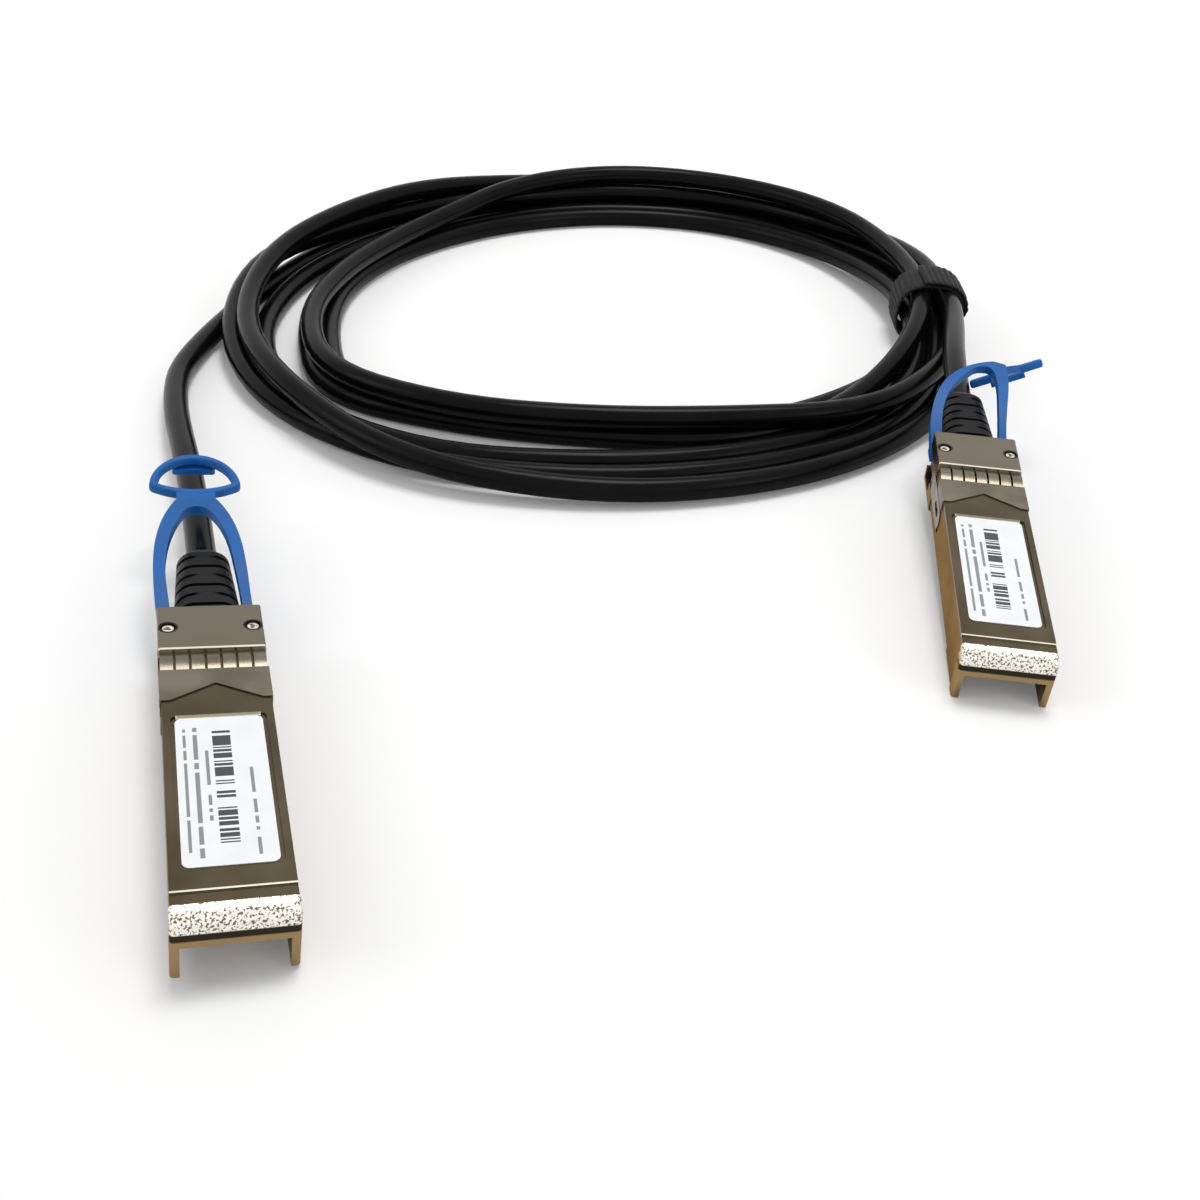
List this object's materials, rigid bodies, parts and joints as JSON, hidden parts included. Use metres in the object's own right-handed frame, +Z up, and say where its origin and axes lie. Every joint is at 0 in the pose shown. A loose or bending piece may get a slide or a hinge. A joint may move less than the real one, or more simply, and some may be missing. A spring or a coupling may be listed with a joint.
{
  "type": "direct attach copper cable",
  "caption": "Coiled black network cable with a plated small form-factor plug at each end, blue pull tabs that draw back the latch, and a hook-and-loop tie round the coil.",
  "frame": {"origin": "centre of the box round the two plugs with their pull tabs, at the table they lie on", "axes": "+Z up; +Y from the plugs back towards the coil; +X to the right with the plugs in front"},
  "size_m": [0.168, 0.276, 0.0201],
  "materials": {
    "plated_shell": "bright nickel plate on a die casting",
    "spring_metal": "plated spring sheet",
    "rivet_metal": "bright rivet metal",
    "label_white": "matt white film",
    "stamped_steel": "stamped sheet",
    "tab_blue": "fine-textured blue moulding",
    "card_green": "solder-masked card",
    "contact_gold": "gold flash",
    "chip_black": "moulded chip",
    "foil_shield": "foil wrap",
    "ferrule_copper": "crimped copper",
    "boot_black": "satin black moulding",
    "jacket_black": "satin black jacket",
    "tie_black": "woven hook-and-loop strap"
  },
  "bodies": {
    "cable": {"top_shell_a": "plated_shell", "bottom_shell_a": "plated_shell", "emi_collar_a": "spring_metal", "cover_rivets_a": "rivet_metal", "label_a": "label_white", "lever_pin_a": "rivet_metal", "paddle_card_a": "card_green", "contact_pads_a": "contact_gold", "memory_chip_a": "chip_black", "twinax_pairs_a": "foil_shield", "crimp_ferrule_a": "ferrule_copper", "strain_relief_boot_a": "boot_black", "top_shell_b": "plated_shell", "bottom_shell_b": "plated_shell", "emi_collar_b": "spring_metal", "cover_rivets_b": "rivet_metal", "label_b": "label_white", "lever_pin_b": "rivet_metal", "paddle_card_b": "card_green", "contact_pads_b": "contact_gold", "memory_chip_b": "chip_black", "twinax_pairs_b": "foil_shield", "crimp_ferrule_b": "ferrule_copper", "strain_relief_boot_b": "boot_black", "cable_coil": "jacket_black", "cable_lead_a": "jacket_black", "cable_lead_b": "jacket_black", "cable_tie": "tie_black"},
    "latch_a": {"latch_slider_a": "stamped_steel", "pull_tab_a": "tab_blue"},
    "lever_a": {"lock_lever_a": "stamped_steel"},
    "latch_b": {"latch_slider_b": "stamped_steel", "pull_tab_b": "tab_blue"},
    "lever_b": {"lock_lever_b": "stamped_steel"}
  },
  "joints": [
    {"name": "latch_a_slide", "type": "slide", "parent": "cable", "child": "latch_a", "axis": [-0.3123, 0.95, 0], "range_m": [0, 0.0025], "stiffness_N_per_m": 300},
    {"name": "lever_a_tilt", "type": "hinge", "parent": "cable", "child": "lever_a", "pos_m": [-0.05594, -0.02566, 0.00141], "axis": [-0.9462, -0.3111, 0.0889], "range_deg": [0, 5.5]},
    {"name": "latch_b_slide", "type": "slide", "parent": "cable", "child": "latch_b", "axis": [0.0668, 0.993, 0.0976], "range_m": [0, 0.0025], "stiffness_N_per_m": 300},
    {"name": "lever_b_tilt", "type": "hinge", "parent": "cable", "child": "lever_b", "pos_m": [0.0571, 0.03688, 0.00513], "axis": [-0.9977, 0.0671, 0], "range_deg": [0, 5.5]}
  ],
  "couplings": [
    {"joint": "lever_a_tilt", "follows": "latch_a_slide", "rad_per_m": 37.7},
    {"joint": "lever_b_tilt", "follows": "latch_b_slide", "rad_per_m": 37.7}
  ]
}
